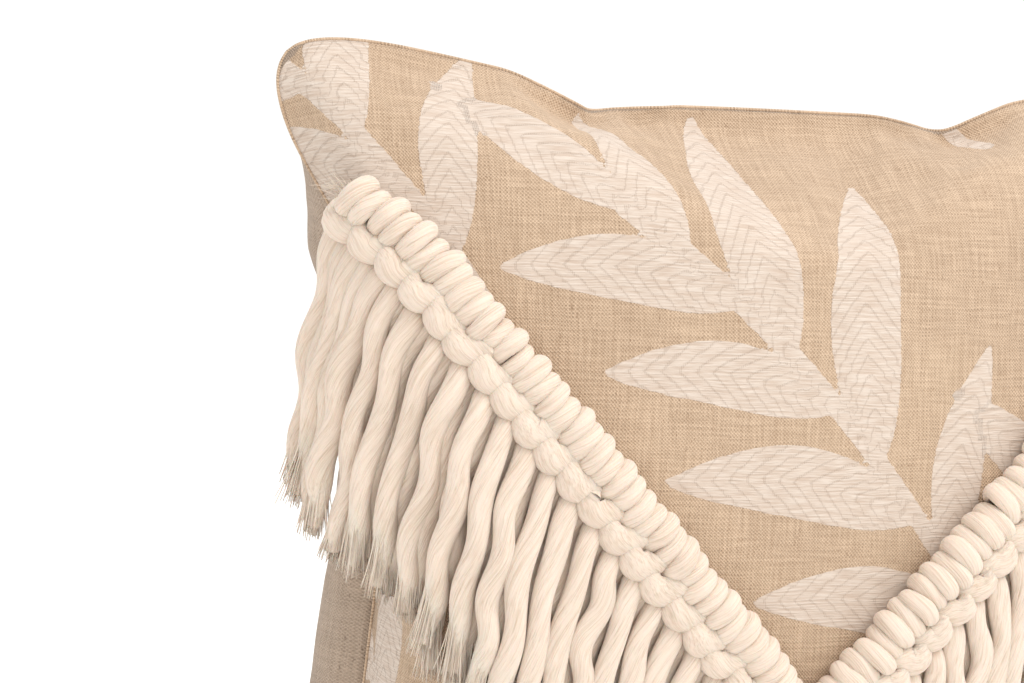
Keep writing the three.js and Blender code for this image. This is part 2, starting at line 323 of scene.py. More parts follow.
@dataclass(frozen=True)
class Cotton:
    """Loosely twisted cotton, streaked along its fibres."""

    name: str
    light: tuple = rgb(0.895, 0.83, 0.77)
    dark: tuple = rgb(0.76, 0.67, 0.58)
    fleck: tuple = rgb(0.62, 0.47, 0.33)

    def make(self) -> bpy.types.Material:
        """Builds the material over the `strand` attribute: around the cord, and along it.

        Returns:
            The cotton.
        """
        s = Shader(self.name)
        x, y, along = s.split(s.attribute("strand").outputs["Vector"])
        coarse = s.noise(s.join(x * 2.2, y * 2.2, along * 0.022), 1.0, 2.0)
        fine = s.noise(s.join(x * 8.0, y * 8.0, along * 0.05), 1.0, 2.0, 0.6)
        height = coarse * 0.35 + fine * 0.65
        colour = s.mix(height.ramp(0.2, 0.6), self.dark, self.light)
        speck = s.noise(s.join(x * 9.0, y * 9.0, along * 0.9), 1.0, 1.0).ramp(0.8, 0.86)
        colour = s.mix(speck * 0.6, colour, self.fleck)
        return s.finish(colour, height, 0.0007, Roughness=0.9, Sheen_Weight=0.25, Sheen_Roughness=0.5,
                        Specular_IOR_Level=0.15, Subsurface_Weight=0.12, Subsurface_Scale=0.004)


@dataclass(frozen=True)
class Plain:
    """A single-coloured surface with a fine grain."""

    name: str
    colour: tuple
    rough: float = 0.8
    metal: float = 0.0
    grain: float = 900.0
    depth: float = 0.0001
    dim: float = 0.86

    def make(self) -> bpy.types.Material:
        """Builds the material over the object's own coordinates.

        Returns:
            The plain finish.
        """
        s = Shader(self.name)
        place = s.node("ShaderNodeTexCoord").outputs["Object"]
        speck = s.noise(place, self.grain, 2.0)
        dim = tuple(c * self.dim for c in self.colour[:3]) + (1.0,)
        colour = s.mix(speck, dim, self.colour)
        rough = speck * 0.1 + (self.rough - 0.05)
        return s.finish(colour, speck, self.depth, Roughness=rough, Metallic=self.metal)


# ---- Meshes ---------------------------------------------------------------------------------


@dataclass
class Shell:
    """Vertices, faces and per-vertex values that grow into one mesh."""

    points: list = field(default_factory=list)
    faces: list = field(default_factory=list)
    values: dict = field(default_factory=dict)
    count: int = 0

    def add(self, points: np.ndarray, faces: np.ndarray, **values: np.ndarray) -> None:
        """Adds one closed or open part, with the values on its vertices."""
        flat = points.reshape(-1, 3)
        self.points.append(flat)
        self.faces.extend((np.asarray(faces) + self.count).tolist())
        for key, value in values.items():
            self.values.setdefault(key, []).append(np.asarray(value).reshape(-1, 3))
        self.count += len(flat)

    def build(self, name: str, material: bpy.types.Material) -> bpy.types.Object:
        """Makes the object.

        Args:
            name: the piece's name.
            material: its one material.

        Returns:
            The object, in the scene and smoothly shaded.
        """
        mesh = bpy.data.meshes.new(name)
        mesh.from_pydata(np.concatenate(self.points).tolist(), [], self.faces)
        mesh.update()
        for key, parts in self.values.items():
            layer = mesh.attributes.new(key, "FLOAT_VECTOR", "POINT")
            layer.data.foreach_set("vector", np.concatenate(parts).astype(np.float32).ravel())
        mesh.polygons.foreach_set("use_smooth", np.ones(len(mesh.polygons), bool))
        mesh.materials.append(material)
        thing = bpy.data.objects.new(name, mesh)
        bpy.context.scene.collection.objects.link(thing)
        return thing


def quads(rows: int, columns: int, start: int = 0, flip: bool = False, wrap: bool = False) -> np.ndarray:
    """The quads of a grid of points stored row by row.

    Args:
        rows: points along the first axis.
        columns: points along the second axis.
        start: the first point's number.
        flip: turns the faces over.
        wrap: joins the last column to the first.

    Returns:
        An array of four point numbers for each face.
    """
    i = np.arange(rows - 1)[:, None]
    j = np.arange(columns if wrap else columns - 1)[None, :]
    k = (j + 1) % columns
    corners = [i * columns + j, (i + 1) * columns + j, (i + 1) * columns + k, i * columns + k]
    faces = np.stack([np.broadcast_to(c, (rows - 1, j.shape[1])) for c in corners], -1).reshape(-1, 4) + start
    return faces[:, ::-1] if flip else faces


def grid_normals(grid: np.ndarray) -> np.ndarray:
    """The unit normals of a grid, first axis crossed with second."""
    return unit(np.cross(np.gradient(grid, axis=0), np.gradient(grid, axis=1)))


def thick_sheet(shell: Shell, outer: np.ndarray, thickness: float, flip: bool, **values: np.ndarray) -> None:
    """Adds a closed sheet whose outer side is a grid.

    Args:
        shell: what it is added to.
        outer: the outer side's points.
        thickness: how far the inner side lies behind it, in metres.
        flip: set where the grid's normals point inwards.
        values: per-point values, used on both sides.
    """
    normals = grid_normals(outer) * (-1.0 if flip else 1.0)
    inner = outer - normals * thickness
    rows, columns = outer.shape[:2]
    total = rows * columns
    faces = [quads(rows, columns, 0, flip), quads(rows, columns, total, not flip)]
    number = np.arange(total).reshape(rows, columns)
    edge = np.concatenate([number[:, 0], number[-1, 1:], number[-2::-1, -1], number[0, -2::-1]])
    rim = np.stack([edge[:-1], edge[1:], edge[1:] + total, edge[:-1] + total], -1)
    faces.append(rim if flip else rim[:, ::-1])
    both = {key: np.stack([value, value]) for key, value in values.items()}
    shell.add(np.stack([outer, inner]), np.concatenate(faces), **both)


def spline(knots: np.ndarray, each: np.ndarray) -> np.ndarray:
    """Points on a smooth curve through the knots.

    Args:
        knots: the rows the curve passes through, of any number of values.
        each: how many steps to take in each span.

    Returns:
        The rows along the curve.
    """
    ends = np.concatenate([2 * knots[:1] - knots[1:2], knots, 2 * knots[-1:] - knots[-2:-1]])
    rows = []
    for k, steps in enumerate(each):
        a, b, c, d = ends[k : k + 4]
        t = (np.arange(steps) / steps)[:, None]
        rows.append(0.5 * (2 * b + (c - a) * t + (2 * a - 5 * b + 4 * c - d) * t**2
                           + (3 * b - a - 3 * c + d) * t**3))
    rows.append(knots[-1:])
    return np.concatenate(rows)


@dataclass
class Tube:
    """A cord's course: its middle line, its section and which way its width lies."""

    line: np.ndarray
    width: np.ndarray
    height: np.ndarray
    side: np.ndarray
    ring: int = 16
    lobes: int = 0
    lobe_depth: float = 0.0
    twist: float = 30.0

    def add_to(self, shell: Shell, seed: float = 0.0) -> None:
        """Adds the closed tube, with the `strand` value on its vertices.

        Args:
            shell: what it is added to.
            seed: shifts the streaks, so that two cords don't match.
        """
        along = unit(np.gradient(self.line, axis=0))
        side = unit(self.side - along * (self.side * along).sum(-1, keepdims=True))
        face = np.cross(along, side)
        steps = np.linalg.norm(np.diff(self.line, axis=0), axis=1)
        travel = np.concatenate([[0.0], np.cumsum(steps)]) / MM
        angle = np.arange(self.ring) * 2 * math.pi / self.ring
        turned = angle[None, :] - (travel * 2 * math.pi / self.twist)[:, None]
        swell = 1 + self.lobe_depth * np.cos(self.lobes * turned) if self.lobes else np.ones_like(turned)
        offset = (
            side[:, None] * (np.cos(angle) * self.width[:, None] / 2 * swell)[..., None]
            + face[:, None] * (np.sin(angle) * self.height[:, None] / 2 * swell)[..., None]
        )
        points = self.line[:, None] + offset
        rows, columns = points.shape[:2]
        body = quads(rows, columns, 0, False, True).tolist()
        last = rows * columns
        caps = [[last, (k + 1) % columns, k] for k in range(columns)]
        tail = (rows - 1) * columns
        caps += [[last + 1, tail + k, tail + (k + 1) % columns] for k in range(columns)]
        size = (self.width / (8 * MM))[:, None]
        strand = np.stack([np.cos(turned) * size + seed, np.sin(turned) * size + seed,
                           np.broadcast_to(travel[:, None], turned.shape)], -1)
        ends = np.stack([self.line[0], self.line[-1]])
        end_values = np.array([[seed, seed, 0.0], [seed, seed, travel[-1]]])
        number = shell.count
        shell.add(np.concatenate([points.reshape(-1, 3), ends]), body,
                  strand=np.concatenate([strand.reshape(-1, 3), end_values]))
        shell.faces.extend([[v + number for v in cap] for cap in caps])


def thread(line: np.ndarray, radius: float, side: np.ndarray, ring: int = 6, taper: float = 1.0) -> Tube:
    """A round thread of one thickness, or tapering to a share of it."""
    width = 2 * radius * np.linspace(1.0, taper, len(line))
    return Tube(line, width, width, np.broadcast_to(side, line.shape).copy(), ring)


# ---- Cover ----------------------------------------------------------------------------------


@dataclass
class CoverForm:
    """The filled cover's surface, from its flat cut to its standing shape."""

    side: float = 450.0
    corner_rounding: float = 0.045
    cells: int = 64
    pressure: float = 4.0
    bending: float = 5.0
    frames: int = 60
    evenness: float = 0.42
    seam_plane: float = 9.7
    lift: float = 170.0
    press_from: float = 60.0
    pressed: float = 5.0
    waist_middle: float = -10.0
    waist_half: float = 185.0
    waist_pull: float = 34.0
    waist_forward: float = 9.0
    slot_half_width: float = 6.5
    slot_half_length: float = 168.0
    finer: int = 3
    front: np.ndarray = field(init=False)
    back: np.ndarray = field(init=False)

    def __post_init__(self) -> None:
        """Fills and stands the cover."""
        front, back = self._stand(*self._fill())
        self.front = self._dress(self._refine(front, self.finer), -1)
        self.back = self._dress(self._refine(back, self.finer), 1)
        self.relief = Relief(self._refine(self.front, 2), self._refine(self.back, 2))

    @property
    def half(self) -> float:
        """Half the flat side in millimetres."""
        return self.side / 2

    def places(self, count: int) -> tuple[np.ndarray, np.ndarray]:
        """The flat places, in millimetres from the middle, of a square grid of points."""
        ruler = np.linspace(-self.half, self.half, count)
        return np.meshgrid(ruler, ruler, indexing="ij")

    def _fill(self) -> tuple[np.ndarray, np.ndarray]:
        """Blows up the two flat panels, joined all round, in a cloth simulation.

        Returns:
            The front and the back, in metres.
        """
        n = self.cells
        ruler = np.linspace(-1, 1, n + 1)
        u, v = np.meshgrid(ruler, ruler, indexing="ij")
        cut = (1 - self.corner_rounding * np.abs(u * v) ** 10) * self.half * MM
        bulge = 0.012 * (1 - u**2) * (1 - v**2)
        front = np.stack([u * cut, -bulge, v * cut], -1)
        back = np.stack([u * cut, bulge, v * cut], -1)
        number = np.arange((n + 1) ** 2).reshape(n + 1, n + 1)
        inner = np.zeros((n + 1, n + 1), bool)
        inner[1:-1, 1:-1] = True
        other = number.copy()
        other[inner] = (n + 1) ** 2 + np.arange(inner.sum())
        points = np.concatenate([front.reshape(-1, 3), back[inner]])
        faces = []
        for grid, turned in ((number, False), (other, True)):
            cell = np.stack([grid[:-1, :-1], grid[1:, :-1], grid[1:, 1:], grid[:-1, 1:]], -1).reshape(-1, 4)
            faces += (cell[:, ::-1] if turned else cell).tolist()
        mesh = bpy.data.meshes.new("filling_up")
        mesh.from_pydata(points.tolist(), [], faces)
        thing = bpy.data.objects.new("filling_up", mesh)
        bpy.context.scene.collection.objects.link(thing)
        modifier = thing.modifiers.new("cloth", "CLOTH")
        cloth = modifier.settings
        cloth.quality = 6
        cloth.mass = 0.3
        cloth.tension_stiffness = cloth.compression_stiffness = 40
        cloth.shear_stiffness = 10
        cloth.bending_stiffness = self.bending
        cloth.tension_damping = cloth.compression_damping = cloth.shear_damping = 15
        cloth.air_damping = 5
        cloth.use_pressure = True
        cloth.uniform_pressure_force = self.pressure
        cloth.effector_weights.gravity = 0
        modifier.collision_settings.use_collision = False
        modifier.point_cache.frame_end = self.frames + 2
        scene = bpy.context.scene
        for moment in range(1, self.frames + 1):
            scene.frame_set(moment)
        filled = thing.evaluated_get(bpy.context.evaluated_depsgraph_get()).data
        found = np.empty(len(filled.vertices) * 3)
        filled.vertices.foreach_get("co", found)
        found = found.reshape(-1, 3)
        bpy.data.objects.remove(thing)
        bpy.data.meshes.remove(mesh)
        scene.frame_set(1)
        return found[number], found[other]

    def _stand(self, *panels: np.ndarray) -> list[np.ndarray]:
        """Pulls in the sides, presses the lower edge flat and sets the cover on the floor.

        Args:
            panels: the filled front and back.

        Returns:
            The panels as they stand.
        """
        s, t = self.places(self.cells + 1)
        low = panels[0][:, :1, 2] * (1 - self.evenness) + panels[0][::-1, :1, 2] * self.evenness
        astray = panels[0][:, :1, 1] * (1 - self.evenness) + panels[0][::-1, :1, 1] * self.evenness
        standing = []
        for facing, panel in zip((-1, 1), panels):
            mirrored = panel[::-1] * (-1.0, 1.0, 1.0)
            grid = panel * (1 - self.evenness) + mirrored * self.evenness
            reach = 42.0 if facing < 0 else 11.0
            waist = np.exp(-(((t - self.waist_middle) / self.waist_half) ** 6))
            pull = waist * np.exp(-(self.half - np.abs(s)) / reach)
            grid[..., 0] -= np.sign(s) * pull * self.waist_pull * MM
            grid[..., 1] -= pull * self.waist_forward * MM
            start = -self.press_from * MM
            share = np.clip((start - grid[..., 2]) / (start - low), 0.0, 1.0)
            grid[..., 2] += (-self.lift * MM - low) * share**2
            grid[..., 2] += (self.lift - self.pressed) * MM
            grid[..., 2] = (grid[..., 2] + np.hypot(grid[..., 2], 1.6 * MM)) / 2
            grid[..., 1] -= astray * np.exp(-(((t + self.half) / 70.0) ** 2))
            grid[..., 1] += self.seam_plane * MM
            standing.append(grid)
        return standing

    @staticmethod
    def _refine(grid: np.ndarray, times: int) -> np.ndarray:
        """A grid with `times` as many cells each way, on a smooth surface through the points."""
        each = np.full(len(grid) - 1, times)
        rows = spline(grid.reshape(len(grid), -1), each).reshape(-1, grid.shape[1], 3)
        turned = rows.transpose(1, 0, 2)
        done = spline(turned.reshape(len(turned), -1), each).reshape(-1, turned.shape[1], 3)
        return done.transpose(1, 0, 2)

    def _dress(self, grid: np.ndarray, facing: int) -> np.ndarray:
        """Opens the slot for the zip and puckers the cloth beside the seams.

        Args:
            grid: the sheet's points in rows and columns.
            facing: -1 for the front and 1 for the back.

        Returns:
            The grid with its fine folds.
        """
        s, t = self.places(len(grid))
        room = self.half - np.maximum(np.abs(s), np.abs(t))
        along = np.where(np.abs(s) > np.abs(t), t, s)
        ripple = (np.sin(along / 2.5 + 1.7 * np.sin(along / 11.0) + facing)
                  + 0.6 * np.sin(along / 1.6 + facing * 2))
        ripple *= 0.32 * np.exp(-room / 9.0) * smooth(0.5, 5.0, room)
        wrinkle = np.sin(s / 9.0 + 0.8 * np.sin(t / 21.0))
        wrinkle = wrinkle * np.sin(t / 13.0 + 1.1 * np.sin(s / 17.0 + facing))
        ripple += 0.16 * wrinkle * smooth(2.0, 25.0, room)
        normals = grid_normals(grid)
        normals *= np.where((normals[..., 1:2] * facing) < 0, -1.0, 1.0)
        done = grid + normals * ripple[..., None] * MM
        opened = smooth(self.slot_half_length + 9, self.slot_half_length - 3, np.abs(done[..., 0]) / MM)
        spread = opened * np.exp(-(((t + self.half) / 15.0) ** 2))
        done[..., 1] += facing * self.slot_half_width * MM * spread
        done[..., 1] += facing * 0.25 * MM * np.exp(-room / 3.0)
        done[..., 2] = np.maximum(done[..., 2], 0.15 * MM)
        return done

    def at(self, s: np.ndarray, t: np.ndarray) -> np.ndarray:
        """The front's points at flat places in millimetres.

        Args:
            s: how far across the flat cloth, in millimetres.
            t: how far up the flat cloth, in millimetres.

        Returns:
            The points on the front, in metres.
        """
        top = len(self.front) - 1
        i = np.clip((np.asarray(s) / self.half + 1) / 2 * top, 0, top - 1e-6)
        j = np.clip((np.asarray(t) / self.half + 1) / 2 * top, 0, top - 1e-6)
        a, b = np.floor(i).astype(int), np.floor(j).astype(int)
        p, q = (i - a)[..., None], (j - b)[..., None]
        low = self.front[a, b] * (1 - p) + self.front[a + 1, b] * p
        high = self.front[a, b + 1] * (1 - p) + self.front[a + 1, b + 1] * p
        return low * (1 - q) + high * q

    def outward(self, s: float, t: float) -> np.ndarray:
        """The front's outward direction at a flat place, evened out over a few millimetres."""
        near = 7.0
        across = self.at(min(s + near, self.half), t) - self.at(max(s - near, -self.half), t)
        up = self.at(s, min(t + near, self.half)) - self.at(s, max(t - near, -self.half))
        return unit(np.cross(across, up))


@dataclass
class Relief:
    """How far forward the standing cover reaches at each x and height."""

    front: np.ndarray
    back: np.ndarray
    cell: float = 2.0
    open_air: float = 500.0

    def __post_init__(self) -> None:
        """Fills the map from the surface's points."""
        self.shape = (260, 210)
        self.map = np.full(self.shape, self.open_air)
        for grid in (self.front, self.back):
            flat = grid.reshape(-1, 3) / MM
            i = np.clip(np.round(flat[:, 0] / self.cell).astype(int) + 130, 0, 259)
            j = np.clip(np.round(flat[:, 2] / self.cell).astype(int), 0, 209)
            np.minimum.at(self.map, (i, j), flat[:, 1])

    def rolled(self, radius: float) -> np.ndarray:
        """Where the middle of a ball lies when it rests on the front.

        Args:
            radius: the ball's radius, in millimetres.

        Returns:
            The level at each place of the map, in millimetres.
        """
        reach = int(radius // self.cell)
        best = np.full(self.shape, self.open_air)
        for a in range(-reach, reach + 1):
            for b in range(-reach, reach + 1):
                rest = radius**2 - (a * self.cell) ** 2 - (b * self.cell) ** 2
                if rest >= 0:
                    best = np.minimum(best, np.roll(self.map, (a, b), (0, 1)) - math.sqrt(rest))
        return best

    def read(self, rolled: np.ndarray, x: float, z: float) -> float:
        """One place of a map, in millimetres.

        Args:
            rolled: the map.
            x: how far across, in millimetres.
            z: how high, in millimetres.

        Returns:
            The level there, in millimetres.
        """
        i = min(max(x / self.cell + 130, 0), 258.999)
        j = min(max(z / self.cell, 0), 208.999)
        a, b = int(i), int(j)
        p, q = i - a, j - b
        patch = rolled[a : a + 2, b : b + 2]
        if patch.max() > self.open_air / 2:
            return float(patch.min())
        return float((patch[0] * (1 - p) + patch[1] * p) @ (1 - q, q))


@dataclass(frozen=True)
class Leaf:
    """One leaf or stem of the woven pattern, in millimetres on the flat cloth."""

    spine: tuple
    width: float
    stem: bool = False
    start: float = 0.0

    def measure(self, s: np.ndarray, t: np.ndarray) -> tuple[np.ndarray, np.ndarray]:
        """How deep inside the leaf each place is, and where it lies among the veins.

        Args:
            s: how far across the flat cloth, in millimetres.
            t: how far up the flat cloth, in millimetres.

        Returns:
            The depth inside and the place among the veins, in millimetres.
        """
        spine = spline(np.array(self.spine, float), np.full(len(self.spine) - 1, 14))
        steps = np.linalg.norm(np.diff(spine, axis=0), axis=1)
        travel = np.concatenate([[0.0], np.cumsum(steps)])
        depth = np.full(s.shape, -1e3)
        vein = np.zeros(s.shape)
        for k in range(len(steps)):
            a, run = spine[k], (spine[k + 1] - spine[k]) / steps[k]
            along = np.clip((s - a[0]) * run[0] + (t - a[1]) * run[1], 0, steps[k])
            aside = np.hypot(s - a[0] - run[0] * along, t - a[1] - run[1] * along)
            share = (travel[k] + along) / travel[-1]
            if self.stem:
                half = self.width / 2 * (0.75 + 0.25 * share)
            else:
                half = self.width / 2 * np.sin(math.pi * np.clip(share, 0, 1) ** 0.85) ** 0.8
            better = half - aside > depth
            depth = np.where(better, half - aside, depth)
            vein = np.where(better, self.start + travel[k] + along + 1.3 * aside, vein)
        return depth, vein


@dataclass(frozen=True)
class Sprig:
    """A bamboo branch drawn by rule and the half-drop repeat it is woven in, in millimetres and degrees."""

    across: float = 218.0
    down: float = 245.0
    foot: tuple = (98.0, -38.0)
    heading: float = 133.0
    bow: float = 22.0
    length: float = 268.0
    stem: float = 9.0
    count: int = 9
    first: float = 0.12
    spread: float = 50.0
    leaf_length: float = 116.0
    slimness: float = 0.255
    arch: float = 0.07

    def branch(self) -> list[Leaf]:
        """One bowed stem, with leaves that take turns left and right and close up towards its tip.

        Returns:
            The stem, then its leaves.
        """
        turn = np.radians(self.heading + self.bow * np.linspace(-0.5, 0.5, 9))
        steps = np.stack([np.cos(turn), np.sin(turn)], -1) * self.length / 9
        line = np.array(self.foot) + np.concatenate([[(0.0, 0.0)], np.cumsum(steps, 0)])
        drawn = [Leaf(tuple(map(tuple, line)), self.stem, True)]
        for k in range(self.count):
            share = self.first + (1 - self.first) * k / (self.count - 1)
            side = 0 if k == self.count - 1 else (-1) ** k
            start = np.array([np.interp(share * 9, np.arange(10), line[:, axis]) for axis in (0, 1)])
            stray = side * self.spread * (1 - 0.4 * share)
            angle = math.radians(self.heading + self.bow * (share - 0.5) + stray)
            size = self.leaf_length * (0.72 + 0.28 * math.sin(math.pi * share))
            size *= 1 + 0.13 * math.cos(2.4 * k)
            run = np.array([math.cos(angle), math.sin(angle)])
            bend = np.array([-run[1], run[0]]) * side * self.arch * size
            drawn.append(Leaf((tuple(start), tuple(start + run * size / 2 - bend), tuple(start + run * size)),
                              size * self.slimness, start=share * self.length))
        return drawn

    def weave(self, s: np.ndarray, t: np.ndarray) -> np.ndarray:
        """The `leaf` value of each flat place: depth inside a leaf, vein, and nothing.

        Args:
            s: how far across the flat cloth, in millimetres.
            t: how far up the flat cloth, in millimetres.

        Returns:
            Three values for each place.
        """
        depth = np.full(s.shape, -50.0)
        vein = np.zeros(s.shape)
        leaves = self.branch()
        for column in (-1, 0, 1):
            for row in (-1, 0, 1):
                right, up = column * self.across, (row + (column % 2) / 2) * self.down
                for leaf in leaves:
                    found, line = leaf.measure(s - right, t - up)
                    better = found > depth
                    depth = np.where(better, found, depth)
                    vein = np.where(better, line, vein)
        return np.stack([np.maximum(depth, -50.0), vein, np.zeros_like(vein)], -1)


@dataclass
class Cover:
    """The two cloth panels, the seam that joins them and the hems of the zip's slot."""

    form: CoverForm
    cloth: float = 0.8
    hem_height: float = 5.0
    welt: float = 0.6
    tab_room: float = 14.0
    sprig: Sprig = field(default_factory=Sprig)
    front: bpy.types.Object = field(init=False)
    back: bpy.types.Object = field(init=False)

    def build(self) -> list[bpy.types.Object]:
        """Builds both panels, the seam and the stitching, and returns what goes with the front.

        Returns:
            The pieces that are sewn to the front.
        """
        woven = Linen("woven_leaf_linen", leaves=True).make()
        plain = Linen("taupe_linen", rgb(0.78, 0.695, 0.62), rgb(0.52, 0.45, 0.385),
                      rgb(0.40, 0.33, 0.27)).make()
        self.front = self._panel("cover_front", self.form.front, -1, woven)
        self.back = self._panel("cover_back", self.form.back, 1, plain)
        for piece, slot, node in ((self.front, Slot.FRONT, "front_panel"),
                                  (self.back, Slot.BACK, "back_panel")):
            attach(piece, Body.COVER.value)
            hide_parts(node)
        seam = self._seam(woven)
        stitches = self._stitches(Cotton("seam_thread", rgb(0.80, 0.66, 0.50), rgb(0.66, 0.52, 0.38)).make())
        for piece in (seam, stitches):
            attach(piece, Body.COVER.value)
        log.info("cover: %d points a panel", self.form.front.shape[0] ** 2)
        return [seam, stitches]

    def _panel(self, name: str, grid: np.ndarray, facing: int,
               material: bpy.types.Material) -> bpy.types.Object:
        """One panel with its thickness and its turned-up hem along the slot.

        Args:
            name: the piece's name.
            grid: the sheet's points in rows and columns.
            facing: -1 for the front and 1 for the back.
            material: what it is made of.

        Returns:
            The panel.
        """
        s, t = self.form.places(len(grid))
        flat = np.stack([s, t, np.zeros_like(s)], -1)
        values = {"cloth": flat}
        if facing < 0:
            values["leaf"] = self.sprig.weave(s, t)
        shell = Shell()
        thick_sheet(shell, grid, self.cloth * MM, flip=facing > 0, **values)
        inside = np.abs(grid[:, 0, 0]) < (self.form.slot_half_length + 4) * MM
        edge = grid[inside, 0]
        fade = smooth(self.form.slot_half_length + 4, self.form.slot_half_length - 4, np.abs(edge[:, 0]) / MM)
        rows = []
        for step in range(5):
            row = edge.copy()
            row[:, 1] -= facing * 0.2 * MM * (step > 0)
            row[:, 2] += (0.1 + step / 4 * self.hem_height * (0.35 + 0.65 * fade)) * MM
            rows.append(row)
        hem = np.stack(rows, 1)
        place = np.stack([np.broadcast_to(s[inside, :1], hem.shape[:2]),
                          np.broadcast_to(-self.form.half - np.arange(5) * 1.2, hem.shape[:2]),
                          np.zeros(hem.shape[:2])], -1)
        values = {"cloth": place}
        if facing < 0:
            values["leaf"] = np.full(place.shape, -50.0)
        thick_sheet(shell, hem, self.cloth * MM, flip=facing < 0, **values)
        return shell.build(name, material)

    @staticmethod
    def _walk(grid: np.ndarray) -> np.ndarray:
        """A grid's border from the middle of the lower edge, up the left and round to where it began."""
        half = len(grid) // 2
        return np.concatenate([grid[: half + 1, 0][::-1], grid[0, 1:], grid[1:, -1], grid[-1, :-1][::-1],
                               grid[half:-1, 0][::-1]])

    def _seam(self, material: bpy.types.Material) -> bpy.types.Object:
        """The seam's rolled edge up the sides, over the top and round the lower corners.

        Args:
            material: what it is made of.

        Returns:
            The seam.
        """
        s, t = self.form.places(len(self.form.front))
        line = self._walk((self.form.front + self.form.back) / 2)
        places = self._walk(np.stack([s, t, np.zeros_like(s)], -1))
        keep = (np.abs(line[:, 0]) > (self.form.slot_half_length + self.tab_room) * MM) | (line[:, 2] > 0.03)
        line, places = line[keep], places[keep]
        centre = np.array([0.0, self.form.seam_plane * MM, self.form.lift * MM])
        outward = unit((line - centre) * (1.0, 0.0, 1.0))
        line = line + outward * 0.35 * MM
        line[:, 2] = np.maximum(line[:, 2], self.welt * MM)
        width = np.full(len(line), 2 * self.welt * MM)
        side = np.broadcast_to((0.0, 1.0, 0.0), line.shape).copy()
        shell = Shell()
        tube = Tube(line, width * 0.9, width, side, 8)
        tube.add_to(shell)
        ring = np.repeat(places[:, None], 8, 1).reshape(-1, 3)
        ends = np.array([places[0], places[-1]])
        shell.values = {"cloth": [np.concatenate([ring, ends])],
                        "leaf": [np.full((shell.count, 3), -50.0)]}
        return shell.build("cover_seam", material)

    def _stitches(self, material: bpy.types.Material) -> bpy.types.Object:
        """A row of edge stitches along each side of the zip's slot.

        Args:
            material: what it is made of.

        Returns:
            The stitches.
        """
        shell = Shell()
        for panel in (self.form.front, self.form.back):
            row = panel[:, 1]
            order = np.argsort(row[:, 0])
            for x in np.arange(-160.0, 160.1, 4.0):
                ramp = np.linspace(-1.4, 1.4, 5)
                place = (x + ramp) * MM
                y = np.interp(place, row[order, 0], row[order, 1])
                z = np.interp(place, row[order, 0], row[order, 2]) + (0.02 * ramp**2 - 0.06) * MM
                line = np.stack([place, y, np.maximum(z, 0.12 * MM)], -1)
                thread(line, 0.22 * MM, np.array([0.0, 1.0, 0.0]), 5).add_to(shell, x)
        return shell.build("slot_stitching", material)


# ---- Insert ---------------------------------------------------------------------------------


@dataclass
class Insert:
    """The stuffed insert: two casing halves round a filling."""

    form: CoverForm
    floor: float = 8.2
    casing_share: float = 0.965
    filling_share: float = 0.955

    def build(self) -> tuple[bpy.types.Object, bpy.types.Object, bpy.types.Object]:
        """Builds the casing's halves and the filling, and returns all three.

        Returns:
            The front half, the back half and the filling.
        """
        white = Plain("white_casing", rgb(0.95, 0.94, 0.92), 0.85).make()
        fibre = Plain("polyester_fibre", rgb(0.97, 0.97, 0.96), 0.95, grain=260.0, depth=0.0012).make()
        halves = []
        for name, facing in (("casing_front", -1), ("casing_back", 1)):
            shell = Shell()
            thick_sheet(shell, self._inner(facing, self.casing_share, 2.4), 0.5 * MM, flip=facing > 0)
            half = shell.build(name, white)
            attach(half, Body.COVER.value)
            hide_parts("insert_" + name)
            halves.append(half)
        shell = Shell()
        front = self._inner(-1, self.filling_share, 4.5)
        back = self._inner(1, self.filling_share, 4.5)
        back[0], back[-1], back[:, 0], back[:, -1] = front[0], front[-1], front[:, 0], front[:, -1]
        rows, columns = front.shape[:2]
        number = np.arange(rows * columns).reshape(rows, columns)
        other = number.copy()
        inside = (rows - 2, columns - 2)
        other[1:-1, 1:-1] = rows * columns + np.arange(inside[0] * inside[1]).reshape(inside)
        cells = [np.stack([g[:-1, :-1], g[1:, :-1], g[1:, 1:], g[:-1, 1:]], -1).reshape(-1, 4)
                 for g in (number, other)]
        points = np.concatenate([front.reshape(-1, 3), back[1:-1, 1:-1].reshape(-1, 3)])
        shell.add(points, np.concatenate([cells[0], cells[1][:, ::-1]]))
        filling = shell.build("filling", fibre)
        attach(filling, Body.COVER.value)
        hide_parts("insert_filling")
        log.info("insert: %d points in the filling", len(points))
        return halves[0], halves[1], filling

    def _inner(self, facing: int, share: float, room: float) -> np.ndarray:
        """The cover's surface drawn inwards and clear of the zip.

        Args:
            facing: -1 for the front and 1 for the back.
            share: how much of the size is left.
            room: how far the surface stands back from the cover, in millimetres.

        Returns:
            The inner surface.
        """
        finer = self.form.finer
        grid = (self.form.front if facing < 0 else self.form.back)[::finer, ::finer].copy()
        centre = np.array([0.0, self.form.seam_plane * MM, self.form.lift * MM])
        grid -= centre
        grid[..., 0] *= share
        grid[..., 2] *= share
        depth = np.abs(grid[..., 1])
        grid[..., 1] = np.sign(facing) * depth * depth / (depth + room * MM)
        grid += centre
        grid[..., 2] = self.floor * MM + np.maximum(grid[..., 2] - self.floor * MM, 0.0)
        return grid


# ---- Zip and label ---------------------------------------------------------------------------


